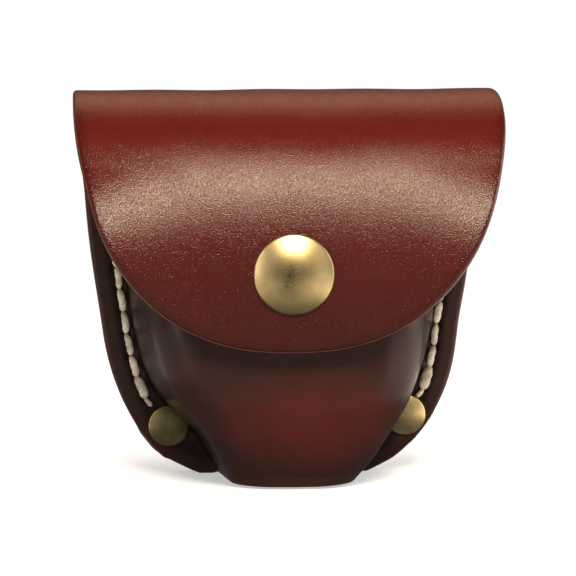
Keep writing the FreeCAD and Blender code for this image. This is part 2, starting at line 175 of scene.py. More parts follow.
def colour_property(name, description, code):
    return FloatVectorProperty(
        name=name, description=description, subtype="COLOR", size=3, min=0.0, max=1.0,
        default=linear(code))


def linear(code):
    """A colour from its sRGB hex code, as linear red, green and blue."""
    parts = np.array([int(code[i:i + 2], 16) for i in (1, 3, 5)]) / 255.0
    low = parts / 12.92
    high = ((parts + 0.055) / 1.055) ** 2.4
    return tuple(float(v) for v in np.where(parts <= 0.04045, low, high))


class PouchColours(PropertyGroup):
    # Painted light: hide is the red of the lit upper flap, and the dark below it is painted shade on the
    # lower flap; that dark also tints the grain's valleys.
    hide: colour_property("Hide", "Red dye of the fold and the upper flap", "#50120a")
    hide_shade_and_grain: colour_property("Hide, dark", "The same dye where it took deeper, lower down", "#2e0704")
    moulded: colour_property("Moulded front", "Browner dye of the wet-moulded front", "#29120b")
    # Painted light: the redder middle is a pool of light painted into the dye of the front.
    moulded_lit: colour_property("Moulded front, red", "Redder middle of the front", "#400f0a")
    edge: colour_property("Edge", "Burnished edge of the leather", "#6b3a2b")
    flesh: colour_property("Flesh side", "Unfinished inner side of the leather", "#5e3424")
    thread: colour_property("Thread", "Waxed linen thread", "#c6baa6")
    brass: colour_property("Brass", "Lacquered brass of the snap", "#dcc690")
    # Painted light: the two rivets are one brass, painted lighter on the right one where light falls and
    # darker on the left one in painted shade.
    lit_brass: colour_property("Bright brass", "Rubbed brass of the right rivet", "#ffe3a8")
    shaded_brass: colour_property("Old brass", "Darker brass of the left rivet", "#c2b07c")


# ---- mesh helpers ----

def place(x, depth, z):
    """Points in metres in the frame from millimetres across, forwards and up."""
    x, depth, z = np.broadcast_arrays(x, depth, z)
    return np.stack([x * MM, REAR_Y - depth * MM, z * MM], axis=-1)


def unit(vectors):
    return vectors / np.maximum(np.linalg.norm(vectors, axis=-1, keepdims=True), 1e-12)


def held(share):
    """A share kept between none and all."""
    return np.clip(share, 0.0, 1.0)


def eased(share):
    """A held share that starts and ends gently: three squares less two cubes of it."""
    share = held(share)
    return share * share * (3.0 - 2.0 * share)


def bell(gap, spread):
    """A bell curve: e to the minus square of the gap over the spread."""
    return np.exp(-(gap / spread) ** 2)


def grid_faces(rows, columns, start=0, close=False):
    """Quads of a grid of vertices numbered row by row. If closed, its last column joins its first."""
    r = np.arange(rows - 1)[:, None]
    c = np.arange(columns if close else columns - 1)[None, :]
    following = (c + 1) % columns
    corners = (r * columns + c, r * columns + following,
               (r + 1) * columns + following, (r + 1) * columns + c)
    return start + np.stack(np.broadcast_arrays(*corners), axis=-1).reshape(-1, 4)


def new_piece(name, points, faces, materials, face_material=None, edge_gap=None):
    """A smooth mesh object at the origin from arrays of points and of faces.

    edge_gap holds each point's distance from the leather's cut edge, for the materials.
    """
    mesh = bpy.data.meshes.new(name)
    mesh.from_pydata(np.asarray(points).reshape(-1, 3).tolist(), [], [list(f) for f in faces])
    for material in materials:
        mesh.materials.append(material)
    if face_material is not None:
        mesh.polygons.foreach_set("material_index", np.asarray(face_material, np.int32))
    if edge_gap is not None:
        gaps = mesh.attributes.new("edge_gap", "FLOAT", "POINT")
        gaps.data.foreach_set("value", np.asarray(edge_gap, np.float32))
    mesh.polygons.foreach_set("use_smooth", np.full(len(mesh.polygons), True))
    mesh.update()
    piece = bpy.data.objects.new(name, mesh)
    bpy.context.scene.collection.objects.link(piece)
    return piece


def grid_normals(grid):
    """Unit normals of a surface grid: the cross product of its two directions."""
    along = np.gradient(grid, axis=0)
    across = np.gradient(grid, axis=1)
    return unit(np.cross(across, along))


def border(rows, columns):
    """Row and column numbers once round a grid's border."""
    bottom = [(0, c) for c in range(columns)]
    right = [(r, columns - 1) for r in range(1, rows)]
    top = [(rows - 1, c) for c in range(columns - 2, -1, -1)]
    left = [(r, 0) for r in range(rows - 2, 0, -1)]
    return np.array(bottom + right + top + left)


def outward_directions(loop, normals, free):
    """Directions in the surface away from it at each point of its border.

    Each is the border's tangent crossed with the surface's normal. A point at the end of a free
    stretch takes the tangent of that stretch alone, and a point that is not free takes none.
    """
    ahead = np.roll(loop, -1, axis=0) - loop
    behind = loop - np.roll(loop, 1, axis=0)
    free_ahead = np.roll(free, -1)
    free_behind = np.roll(free, 1)
    tangent = unit(ahead) * free_ahead[:, None] + unit(behind) * free_behind[:, None]
    return unit(np.cross(unit(tangent), normals)) * free[:, None]


def edge_distances(points, loop):
    """Distance of every point from the nearest point of a cut edge."""
    nearest = np.full(len(points), np.inf)
    for part in np.array_split(loop, max(1, len(loop) // 60)):
        gaps = np.linalg.norm(points[:, None] - part[None], axis=-1).min(axis=1)
        nearest = np.minimum(nearest, gaps)
    return nearest


def leather_sheet(name, outer, thickness, edge_round, materials, lift=None, joined_top=False):
    """A closed sheet of leather from the grid of its finished face.

    The flesh side is the finished face moved in along its normals by the thickness. The
    normals come from the grid, or from lift where the face's own directions are known. The edge
    runs between the two as a quarter round, a flat and a quarter round: at angle a it stands
    out by the radius times sin a and has gone in by the radius times one minus cos a. A joined
    top meets another sheet, so its edge is flat.
    """
    rows, columns = outer.shape[:2]
    normals = grid_normals(outer) if lift is None else lift
    inner = outer - normals * thickness
    ring = border(rows, columns)
    loop = outer[ring[:, 0], ring[:, 1]]
    loop_normals = normals[ring[:, 0], ring[:, 1]]
    joined = (ring[:, 0] == rows - 1) & (ring[:, 1] > 0) & (ring[:, 1] < columns - 1)
    free = ~joined if joined_top else np.ones(len(ring), bool)
    away = outward_directions(loop, loop_normals, free)
    turn = np.linspace(0.0, 0.5 * np.pi, EDGE_STEPS)[1:]
    out = np.concatenate([np.sin(turn), np.sin(turn)[::-1]])
    deep = np.concatenate([edge_round * (1.0 - np.cos(turn)),
                           thickness - edge_round * (1.0 - np.cos(turn[::-1]))])
    rim = (loop[None] + away[None] * (edge_round * out)[:, None, None]
           - loop_normals[None] * deep[:, None, None])
    face_points = outer.reshape(-1, 3)
    gaps = edge_distances(face_points, loop[free])
    points = np.concatenate([face_points, inner.reshape(-1, 3), rim.reshape(-1, 3)])
    gaps = np.concatenate([gaps, gaps, np.zeros(rim.shape[0] * len(ring))])
    count = rows * columns
    face = grid_faces(rows, columns)
    flesh = grid_faces(rows, columns, count)[:, ::-1]
    first = ring[:, 0] * columns + ring[:, 1]
    between = 2 * count + np.arange(rim.shape[0] * len(ring)).reshape(rim.shape[:2])
    rings = np.concatenate([first[None], between, (count + first)[None]])
    a, b = rings[:-1], rings[1:]
    edge = np.stack([a, b, np.roll(b, -1, axis=1), np.roll(a, -1, axis=1)], axis=-1).reshape(-1, 4)
    faces = np.concatenate([face, flesh, edge])
    rim_kinds = np.full(len(rings) - 1, EDGE_SLOT)
    rim_kinds[:DYED_RINGS] = FACE_SLOT
    kinds = np.concatenate([np.full(len(face), FACE_SLOT), np.full(len(flesh), FLESH_SLOT),
                            np.repeat(rim_kinds, len(ring))])
    return faces_outwards(new_piece(name, points, faces, materials, kinds, gaps))


def tube_faces(rows, sides):
    """Faces of a tube numbered row by row, closed at its two ends on two further points."""
    near, far, last = rows * sides, rows * sides + 1, (rows - 1) * sides
    pairs = [(i, (i + 1) % sides) for i in range(sides)]
    return (grid_faces(rows, sides, close=True).tolist() + [[near, j, i] for i, j in pairs]
            + [[far, last + i, last + j] for i, j in pairs])


def lathe(name, profile, x, z, materials, sides=96):
    """A turned piece: a profile of radius and depth carried round a line along the depth.

    The profile starts and ends on the line, and each end closes on one point.
    """
    profile = np.asarray(profile, float)
    turn = np.linspace(0.0, 2.0 * np.pi, sides, endpoint=False)
    radius, depth = profile[1:-1, :1], profile[1:-1, 1:]
    body = place(x + radius * np.cos(turn), depth, z + radius * np.sin(turn))
    ends = place(np.array([x, x]), profile[[0, -1], 1], np.array([z, z]))
    points = np.concatenate([body.reshape(-1, 3), ends])
    return faces_outwards(new_piece(name, points, tube_faces(len(profile) - 2, sides), materials))


def faces_outwards(piece):
    """Turns every face of a closed piece outwards, and keeps its square edges sharp."""
    mesh = bmesh.new()
    mesh.from_mesh(piece.data)
    bmesh.ops.recalc_face_normals(mesh, faces=mesh.faces)
    for edge in mesh.edges:
        edge.smooth = edge.calc_face_angle(0.0) < SQUARE_EDGE
    mesh.to_mesh(piece.data)
    mesh.free()
    piece.data.update()
    return piece


# ---- the hide: back panel, fold and flap ----

def hide_path():
    """The hide's finished face seen from the side: length along it, depth, height and normal.

    It runs straight up the back, round a quarter circle, over the top and down the front on a
    quarter superellipse, and straight down to the flap's tip. Along the superellipse, depth
    grows with the sine of an angle and height with its cosine, both to the power of two over n.
    """
    up = np.linspace(-FOOT_SPARE, TOP_Z - FOLD_RADIUS, 300)
    turn = np.linspace(0.0, 0.5 * np.pi, 120)
    sweep = 0.5 * np.pi * np.linspace(0.0, 1.0, 1500) ** 1.6
    down = np.linspace(ARC_BOTTOM_Z, FLAP_TIP_Z - TIP_SPARE, 60)
    reach, rise = FLAP_DEPTH - FOLD_RADIUS, TOP_Z - ARC_BOTTOM_Z
    u = np.sin(sweep) ** (2.0 / ARC_POWER)
    w = np.maximum(np.cos(sweep), 0.0) ** (2.0 / ARC_POWER)
    arc_normal = unit(np.stack([u ** (ARC_POWER - 1) / reach, w ** (ARC_POWER - 1) / rise], -1))
    parts = [
        (np.zeros_like(up), up, np.tile([-1.0, 0.0], (len(up), 1))),
        (FOLD_RADIUS * (1.0 - np.cos(turn)), TOP_Z - FOLD_RADIUS * (1.0 - np.sin(turn)),
         np.stack([-np.cos(turn), np.sin(turn)], -1)),
        (FOLD_RADIUS + reach * u, ARC_BOTTOM_Z + rise * w, arc_normal),
        (np.full_like(down, FLAP_DEPTH), down, np.tile([1.0, 0.0], (len(down), 1))),
    ]
    depth, z, normal = (np.concatenate(values) for values in zip(*parts))
    keep = np.concatenate([[True], np.hypot(np.diff(depth), np.diff(z)) > 1e-6])
    depth, z, normal = depth[keep], z[keep], normal[keep]
    return running_length(depth, z) - FOOT_SPARE, depth, z, normal


def running_length(a, b):
    """Length along a line of points in a plane, up to each of them."""
    return np.concatenate([[0.0], np.cumsum(np.hypot(np.diff(a), np.diff(b)))])


FOOT_SPARE, TIP_SPARE = 1.0, 3.0
PATH_S, PATH_DEPTH, PATH_Z, PATH_NORMAL = hide_path()
ARC_S = TOP_Z - FOLD_RADIUS + 0.5 * np.pi * FOLD_RADIUS
TIP_S = float(PATH_S[-1]) - TIP_SPARE
SEAM_S = ARC_S + 9.0


def path_length_at(z):
    """Length along the hide of a height on its front."""
    front = PATH_S > ARC_S
    return np.interp(-np.asarray(z), -PATH_Z[front], PATH_S[front])


def on_hide(x, s, inset=0.0):
    """Points on the hide at x across and s along, with their normals."""
    x, s = np.broadcast_arrays(x, s)
    depth = np.interp(s, PATH_S, PATH_DEPTH)
    z = np.interp(s, PATH_S, PATH_Z)
    nd = np.interp(s, PATH_S, PATH_NORMAL[:, 0])
    nz = np.interp(s, PATH_S, PATH_NORMAL[:, 1])
    size = np.hypot(nd, nz)
    nd, nz = nd / size, nz / size
    out = hide_waves(x, s) - inset
    return place(x, depth + nd * out, z + nz * out), place_direction(nd, nz)


def hide_waves(x, s):
    """How far the hide stands off its plain form.

    Two slow waves of sines run over it. The flap's sides fall back above FLARE_Z and spring
    forwards below it, by the cube of the share of the half width times the hyperbolic tangent
    of the height below FLARE_Z over its spread.
    """
    flap = held((s - ARC_S - 8.0) / 26.0) ** 1.5
    side = np.abs(x / HALF_WIDTH)
    waves = 0.10 * np.sin(0.155 * x + 0.9) * np.sin(0.11 * s + 0.4)
    waves += 0.07 * np.sin(0.31 * x - 0.07 * s + 2.0)
    fade = held((s - 60.0) / 20.0) * np.clip((TIP_S - s) / 12.0, 0.3, 1.0)
    z = np.interp(s, PATH_S, PATH_Z)
    flare = np.where(x < 0.0, FLARE[-1], FLARE[1]) * np.tanh((FLARE_Z - z) / FLARE_SPREAD)
    return waves * fade + flap * side ** 3 * flare


def place_direction(nd, nz):
    """Directions in the frame from their parts forwards and up."""
    return np.stack([np.zeros_like(nd), -nd, nz], axis=-1)


def outline_half(z, side):
    """Half width of the back: a tapering side, a corner that falls as a cube root, and a toe.

    The toe runs in to the foot from the height where the corner ends. Each side also swells or
    draws in by a bell curve of the height, as hide cut by hand does.
    """
    drop = held((CORNER_START_Z - z) / CORNER_DROP[side])
    amount, level, spread = OUTLINE_SWELL[side]
    half = (HALF_WIDTH - SIDE_TAPER * (TOP_Z - z)) * (1.0 - drop ** 2) ** (1.0 / 3.0)
    half = half + amount * bell(z - level, spread)
    toe = FOOT_HALF + TOE_REACH[side] * held(z / TOE_TOP_Z) ** 0.8
    return np.where(z < TOE_TOP_Z, np.minimum(half, toe), half)


def flap_swell(z, side):
    """How far a side of the flap stands out or in at a height: a sum of bell curves."""
    return sum(amount * bell(z - level, spread) for amount, level, spread in FLAP_SWELL[side])


def back_half(s, side, inset):
    """Half width of the hide behind and over the fold, at a length along it.

    Over the last SWELL_BLEND below the fold it blends from the back's half width to the flap's.
    """
    half = outline_half(np.minimum(s, TOP_Z), side)
    share = eased((s - (TOP_Z - FOLD_RADIUS - SWELL_BLEND)) / SWELL_BLEND)
    top = HALF_WIDTH + flap_swell(np.interp(s, PATH_S, PATH_Z), side)
    return half + (top - half) * share - inset


def coons(left, right, bottom, top):
    """A patch between four edges: each point is the sum of the two straight blends between
    opposite edges, less the straight blend of the four corners.
    """
    v = np.linspace(0.0, 1.0, len(left))[:, None, None]
    u = np.linspace(0.0, 1.0, len(bottom))[None, :, None]
    across = (1 - u) * left[:, None] + u * right[:, None]
    along = (1 - v) * bottom[None] + v * top[None]
    corners = ((1 - u) * (1 - v) * bottom[0] + u * (1 - v) * bottom[-1]
               + (1 - u) * v * top[0] + u * v * top[-1])
    return across + along - corners


def even_rows(stops, steps):
    """Values from the first stop to the last, evenly spaced within each stretch."""
    runs = [np.linspace(a, b, n, endpoint=False) for a, b, n in zip(stops, stops[1:], steps)]
    return np.concatenate(runs + [[stops[-1]]])


def flap_patch(inset):
    """The flap in the flat, as x across and s along, from the seam on top to its round tip.

    The tip is a superellipse: x is the half width by the sine of an angle to the power of two
    over n, and the height above the tip is the round's height by one minus the cosine.
    """
    width, rise = HALF_WIDTH - inset, FLAP_ROUND - inset
    corner = math.radians(40.0)
    tip = FLAP_TIP_Z + inset

    def edge(angle):
        x = np.sign(angle) * width * np.abs(np.sin(angle)) ** (2.0 / FLAP_POWER)
        return x, path_length_at(tip + rise * (1.0 - np.cos(angle)))

    low_x, low_s = edge(np.linspace(-corner, corner, 90))
    side_x, side_s = edge(np.linspace(corner, 0.5 * np.pi, 50))
    straight = np.linspace(side_s[-1], SEAM_S, 24)[1:]
    side_x = np.concatenate([side_x, np.full(len(straight), width)])
    side_s = np.concatenate([side_s, straight])
    z = np.interp(side_s, PATH_S, PATH_Z)
    fade = held((z - z[0]) / 6.0)
    left, right = (np.stack([side * (side_x + flap_swell(z, side) * fade), side_s], -1)
                   for side in (-1, 1))
    bottom = np.stack([low_x, low_s], -1)
    top_x = np.linspace(left[-1, 0], right[-1, 0], len(bottom))
    top = np.stack([top_x, np.full(len(bottom), SEAM_S)], -1)
    return coons(left, right, bottom, top)


def back_patch(inset):
    """The back in the flat, row by row from the foot, over the fold, to the seam on top."""
    rows = even_rows((inset, CORNER_START_Z, 66.0, ARC_S + 1.0, SEAM_S), (56, 30, 34, 14))
    u = np.linspace(-1.0, 1.0, 84)[None, :]
    left, right = (back_half(rows, side, inset)[:, None] for side in (-1, 1))
    x = np.where(u < 0.0, u * left, u * right)
    return np.stack([x, np.broadcast_to(rows[:, None], x.shape)], -1)


# ---- the moulded front ----

FRONT_ROWS = even_rows((0.0, 0.08, 1.0), (14, 122))


def level_value(z, values):
    """A value given at the moulding's heights, averaged over a few millimetres up and down."""
    fine = np.linspace(BULGE_Z[0], BULGE_Z[-1], 400)
    course = np.interp(fine, BULGE_Z, values)
    window = np.hanning(35)
    smooth = np.convolve(np.pad(course, 17, mode="edge"), window / window.sum(), mode="valid")
    return np.interp(z, fine, smooth)


def rounded_corner(before, corner, after, radius, t):
    """Points round a corner, with the round's first and last point.

    The round is a circular arc as a rational quadratic curve. Its middle weight is the cosine of
    half the turn, and its ends lie the radius times the tangent of half the turn away.
    """
    arrive, leave = unit(corner - before), unit(after - corner)
    half_turn = 0.5 * np.arccos(np.clip((arrive * leave).sum(-1), -1.0, 1.0))
    run = (radius * np.tan(half_turn))[..., None]
    start, end = corner - arrive * run, corner + leave * run
    weight = np.cos(half_turn)[..., None]
    a, b, c = (1 - t) ** 2, 2 * t * (1 - t), t ** 2
    return (a * start + b * weight * corner + c * end) / (a + b * weight + c), start, end


def half_section(side, inset):
    """Half of the moulded front, from the flange's edge to the middle, as x, depth and z on a grid.

    Every level is a line along the flange, a concave round, a leaning wall, a convex round and
    a slightly crowned front, and a column keeps its share of its stretch at every level. The
    mouth's edge rises gently from the front to the flanges.
    """
    stretch = np.append(np.repeat(np.arange(5), FRONT_COLUMNS), 4)[None, :, None]
    share = np.append(np.concatenate([np.arange(n) / n for n in FRONT_COLUMNS]), 1.0)[None, :, None]
    column = np.arange(share.size)
    climb = eased((column - sum(FRONT_COLUMNS[:2])) / sum(FRONT_COLUMNS[2:4]))
    mouth = MOUTH_BACK_Z - (MOUTH_BACK_Z - MOUTH_FRONT_Z) * climb
    z = inset + FRONT_ROWS[:, None] * (mouth[None, :] - 2.0 * inset)
    base, lean = level_value(z, BASE_HALF[side]), level_value(z, WALL_LEAN[side])
    front, radius = level_value(z, FRONT_DEPTH), level_value(z, CORNER_RADIUS)
    fillet = 0.4 + 0.7 * held(z / 9.0)
    rim = np.maximum(outline_half(z, side) - inset, base + fillet + 0.3)
    edge = np.stack([rim, np.full_like(z, FLANGE_DEPTH)], -1)
    foot = np.stack([base, np.full_like(z, FLANGE_DEPTH)], -1)
    brow = np.stack([base - lean, front], -1)
    middle = np.stack([np.zeros_like(z), front], -1)
    fillet_arc, fillet_start, fillet_end = rounded_corner(edge, foot, brow, fillet, share)
    brow_arc, brow_start, brow_end = rounded_corner(foot, brow, middle, radius, share)
    grid = np.select(
        [stretch == 0, stretch == 1, stretch == 2, stretch == 3],
        [edge + (fillet_start - edge) * share, fillet_arc,
         fillet_end + (brow_start - fillet_end) * share, brow_arc],
        brow_end + (middle - brow_end) * share)
    crown = 0.6 * (1.0 - (1.0 - share) ** 2) ** 2 * (stretch == 4)
    return grid[..., 0], grid[..., 1] + crown[..., 0] * np.clip(z / 12.0, 0.2, 1.0), z


def seam_line(side):
    """Stitch holes up one side: evenly spaced points on a line inside the outline."""
    z = np.linspace(FIRST_HOLE_Z[side], 66.0, 4000)
    x = outline_half(z, side) - STITCH_MARGIN[side]
    length = running_length(x, z)
    marks = PITCH * np.arange(STITCHES + 1)
    return side * np.interp(marks, length, x), np.interp(marks, length, z)


def pressed_in(x, depth, z, side):
    """How far the flange is pressed in: a groove under the seam, a dimple at each hole and a
    dish round the rivet, each a bell curve of the distance from it.
    """
    flat = held((FLANGE_DEPTH + 0.6 - depth) / 0.6)
    hole_x, hole_z = seam_line(side)
    line_x = outline_half(z, side) - STITCH_MARGIN[side]
    along = (z > hole_z[0] - 0.5) & (z < hole_z[-1] + 0.5)
    press = GROOVE[0] * bell(x - line_x, GROOVE[1]) * along
    gaps = np.hypot(x[..., None] - np.abs(hole_x), z[..., None] - hole_z)
    press = press + (DIMPLE[0] * bell(gaps, DIMPLE[1])).sum(-1)
    rivet_x, rivet_z = RIVETS[side]
    rivet_gap = np.hypot(x - abs(rivet_x), z - rivet_z)
    dish = DISH[0] * bell(np.maximum(rivet_gap - RIVET_RADIUS, 0.0), DISH[1])
    press = press + dish * held((outline_half(z, side) - x - 0.5) / 2.5)
    return press * flat


def front_waves(x, z):
    """Unevenness of the moulding: two slow sines across and up."""
    return 0.16 * np.sin(0.13 * x + 0.5) * np.sin(0.16 * z + 1.1) + 0.08 * np.sin(0.29 * x - 0.1 * z)


def front_grid(inset):
    """The whole moulded front as a grid of points, pressed in along its seams and waved."""
    halves = []
    for side in (-1, 1):
        x, depth, z = half_section(side, inset)
        depth = depth - pressed_in(x, depth, z, side)
        halves.append((side * x, depth, z))
    left, right = halves
    x, depth, z = (np.concatenate([a, b[:, -2::-1]], axis=1) for a, b in zip(left, right))
    depth = depth + front_waves(x, z) * held((depth - FLANGE_DEPTH) / 6.0)
    return place(x, depth, z)


# ---- thread ----

def stitches(name, runs, width, materials):
    """Waxed stitches as one bead per gap between neighbouring holes.

    Each run is its holes, the direction out of the leather, how far its stitches bow sideways
    and their width compared with the others. Along a stitch at share t, the middle line lies on
    the straight line between the holes, bows by sin(pi t), and sinks into the leather by the
    fourth power of its distance from the middle. The section is an oval with three ridges that
    wind round it once per lay, thinner towards both ends.
    """
    t = np.linspace(0.0, 1.0, THREAD_STEPS)
    turn = np.linspace(0.0, 2.0 * np.pi, THREAD_SIDES, endpoint=False)
    end = np.abs(2.0 * t - 1.0) ** 4
    one = tube_faces(THREAD_STEPS, THREAD_SIDES)
    points, faces, start = [], [], 0
    for holes, outwards, bow, stout in runs:
        holes = np.asarray(holes)
        a, b = holes[:-1, None], holes[1:, None]
        length = np.linalg.norm(b - a, axis=-1, keepdims=True)
        half = 0.5 * width * np.asarray(stout).reshape(-1, 1)
        sideways = unit(np.cross(unit(b - a), outwards))
        rise = half * THREAD_STAND - (half * THREAD_STAND + THREAD_SINK) * end
        middle = a + (b - a) * t[None, :, None] + outwards * rise[..., None]
        middle = middle + sideways * bow * np.sin(np.pi * t)[None, :, None]
        forwards = unit(np.gradient(middle, axis=1))
        up = unit(outwards - forwards * (forwards * outwards).sum(-1, keepdims=True))
        across = np.cross(forwards, up)
        radius = half * (1.0 - THREAD_THIN * end)
        wind = 2.0 * np.pi * t[None, :] * length[..., 0] / THREAD_LAY
        ridges = 1.0 + PLY_RIDGE * np.cos(THREAD_PLIES * (turn + wind[..., None] / THREAD_PLIES))
        reach = radius[..., None] * ridges
        ring = (middle[:, :, None]
                + across[:, :, None] * (reach * np.cos(turn))[..., None]
                + up[:, :, None] * (THREAD_FLAT * reach * np.sin(turn))[..., None])
        for bead, tips in zip(ring, middle[:, [0, -1]]):
            points.append(np.concatenate([bead.reshape(-1, 3), tips]))
            faces.extend([start + v for v in f] for f in one)
            start += len(points[-1])
    return faces_outwards(new_piece(name, np.concatenate(points), faces, materials))


def seam_runs(side):
    """Front and back runs of one side seam, with a stout last stitch and a tail at the rivet."""
    x, z = seam_line(side)
    face = place(x, FLANGE_DEPTH - 0.25, z)
    rear = place(x, 0.0, z)
    forwards, backwards = np.array([0.0, -1.0, 0.0]), np.array([0.0, 1.0, 0.0])
    bow = -side * 0.22 * MM
    lean = np.where(np.arange(len(x)) % 2 == 0, 1.0, -1.0)
    stout = 1.0 + 0.07 * np.sin(2.4 * np.arange(STITCHES) + side) + 0.4 * (np.arange(STITCHES) == 0)
    tail_x = np.array([x[0], x[0] - side * 1.3])
    tail = place(tail_x, FLANGE_DEPTH - 0.1, np.array([z[0], z[0] - 1.6]))
    slant = lean[:, None] * np.array([0.10 * MM, 0.0, 0.0])
    return [
        (face + slant * 0.6, forwards, bow, stout),
        (rear + slant * 0.4, backwards, 0.0, stout),
        (tail, forwards, 0.0, np.array([0.65])),
    ]


LOOP_HOLE_X = LOOP_HOLE_STEP * (np.arange(LOOP_HOLES) - 0.5 * (LOOP_HOLES - 1))


def loop_rows(z):
    """One row of stitches across an end of the belt loop."""
    holes = place(LOOP_HOLE_X, -LOOP_LEATHER, np.full(LOOP_HOLES, z))
    return [(holes, np.array([0.0, 1.0, 0.0]), 0.1 * MM, np.ones(LOOP_HOLES - 1))]


# ---- belt loop ----

def loop_grid(inset):
    """The strap's outer face: flat on the back at both ends, and standing off between them.

    The step between the two is eased. The strap cups by the square of x, and pinches in at each
    stitch as a bell curve.
    """
    top, bottom = LOOP_TOP_Z - LOOP_TAB, LOOP_BOTTOM_Z + LOOP_TAB
    z = even_rows((LOOP_TOP_Z - inset, top, top - LOOP_STEP, bottom + LOOP_STEP, bottom,
                   LOOP_BOTTOM_Z + inset), (16, 16, 30, 16, 16))[:, None]
    x = np.linspace(-(LOOP_HALF - inset), LOOP_HALF - inset, 90)[None, :]
    share = held(np.minimum(top - z, z - bottom) / LOOP_STEP)
    pinch = 0.0
    for row in (LOOP_TOP_Z - LOOP_ROW_GAP, LOOP_BOTTOM_Z + LOOP_ROW_GAP):
        gaps = np.hypot(x[..., None] - LOOP_HOLE_X, z[..., None] - row)
        pinch = pinch + (PINCH[0] * bell(gaps, PINCH[1])).sum(-1)
    cup = 0.25 * share * (x / LOOP_HALF) ** 2
    return place(x, -(LOOP_LEATHER + LOOP_ROOM * eased(share) - pinch - cup), z)


# ---- snap and rivets ----

def button_profile(radius, seat, rim_top, top, bead, power):
    """Radius and depth round a pressed metal cap, from the middle of its back to its top.

    Its rim is a round bead. Its face rises from the bead's last point by one minus the share
    of the radius to a power.
    """
    turn = np.linspace(-0.5 * np.pi, math.radians(60.0), 11)
    bead_r = radius - bead + bead * np.cos(turn)
    bead_d = rim_top - bead + bead * np.sin(turn)
    share = np.linspace(1.0, 0.0, 30)[1:]
    face_r = bead_r[-1] * share
    face_d = bead_d[-1] + (top - bead_d[-1]) * (1.0 - share ** power)
    back = [(0.0, seat), (0.5 * radius, seat), (radius - 1.6 * bead, seat)]
    return np.concatenate([back, np.stack([bead_r, bead_d], -1), np.stack([face_r, face_d], -1)])


# ---- materials ----

WHITE, BLACK = (1.0, 1.0, 1.0), (0.0, 0.0, 0.0)
OF_COLOURS = {"out": 2, "data_type": "RGBA"}
# Heights between which the hide's dye turns from dark to red, a painted light that makes the flap
# lighter higher up, and depths between which the flange turns dark, a painted shade in its recess.
HIDE_LIGHT_FROM_Z, HIDE_LIGHT_TO_Z = 30.0, 66.0
FLANGE_SHADE_FROM_DEPTH, FLANGE_SHADE_TO_DEPTH = 13.0, 7.0
# The painted pool of light on the middle of the moulding and the painted dark reflection on the
# snap's cap: where, and how far out.
LIT_PATCH_CENTRE, LIT_PATCH_REACH = (3.6, -16.12, 14.03), (20.0, 26.0, 11.5)
DARK_REFLECTION_CENTRE, DARK_REFLECTION_REACH = (SNAP_X - 0.85, SNAP_Z), (3.4, 5.2)


def add(tree, kind, inputs=None, out=0, **settings):
    """Adds a shader node with its settings, gives each of its inputs a value or a link, and
    gives back one of its outputs.
    """
    node = tree.nodes.new("ShaderNode" + kind)
    for key, value in settings.items():
        setattr(node, key, value)
    for key, value in (inputs or {}).items():
        if isinstance(value, bpy.types.NodeSocket):
            tree.links.new(value, node.inputs[key])
        else:
            node.inputs[key].default_value = value
    return node.outputs[out] if len(node.outputs) else None


def made_of(name, build, *details):
    """A material of that name, made once: build adds its nodes and gives the shader's inputs."""
    found = bpy.data.materials.get(name)
    if found is not None:
        return found
    material = bpy.data.materials.new(name)
    material.use_nodes = True
    tree = material.node_tree
    tree.nodes.clear()
    where = add(tree, "TexCoord", out="Object")
    add(tree, "OutputMaterial", {"Surface": add(tree, "BsdfPrincipled", build(tree, where, *details))})
    return material


def rgba(colour, level=1.0):
    """A colour times a level, with full cover."""
    return tuple(float(c) * level for c in colour) + (1.0,)


def bridle_leather(tree, where, colours, grain):
    """Bridle leather, drum dyed and waxed: a deep red that clouds slowly, with painted shade that makes
    it darker lower down and painted light that makes it redder higher up, where light falls from
    above, and a fine pebble grain that breaks the waxy highlight into sparks. It darkens towards its
    cut edges.
    """
    clouds = add(tree, "TexNoise", {"Vector": where, "Scale": 1.0 / (14.0 * MM), "Detail": 3.0})
    height = add(tree, "SeparateXYZ", {0: where}, "Z")
    # Painted light: the dye turns from the dark of painted shade low on the flap to the red of painted
    # light higher up, where light falls from above.
    upper = add(tree, "MapRange", {0: height, 1: HIDE_LIGHT_FROM_Z * MM, 2: HIDE_LIGHT_TO_Z * MM, 4: 0.75})
    red = add(tree, "Math", {0: clouds, 1: 0.3, 2: upper}, operation="MULTIPLY_ADD")
    dye = add(tree, "Mix", {0: red, 6: rgba(colours.hide_shade_and_grain), 7: rgba(colours.hide)}, **OF_COLOURS)
    pebbles = add(tree, "TexNoise", {"Vector": where, "Scale": 1.0 / grain, "Detail": 1.5})
    valley = add(tree, "MapRange", {0: pebbles, 1: 0.3, 2: 0.6, 3: 0.72})
    gap = add(tree, "Attribute", None, "Fac", attribute_name="edge_gap")
    edge = add(tree, "MapRange", {0: gap, 2: 1.6 * MM, 3: 0.62})
    level = add(tree, "Math", {0: valley, 1: edge}, operation="MULTIPLY")
    base = add(tree, "Mix", {0: level, 6: rgba(colours.hide_shade_and_grain, 0.35), 7: dye}, **OF_COLOURS)
    creases = add(tree, "TexNoise", {"Vector": where, "Scale": 1.0 / (2.6 * MM), "Detail": 4.0})
    shine = add(tree, "Math", {0: creases, 1: 0.12, 2: 0.155}, operation="MULTIPLY_ADD")
    slow = add(tree, "Bump", {"Height": creases, "Distance": 0.03 * MM, "Strength": 0.5})
    fine = add(tree, "Bump", {"Height": pebbles, "Distance": 0.09 * MM, "Strength": 1.0, "Normal": slow})
    return {"Base Color": base, "Roughness": shine, "Normal": fine, "IOR": 1.48}


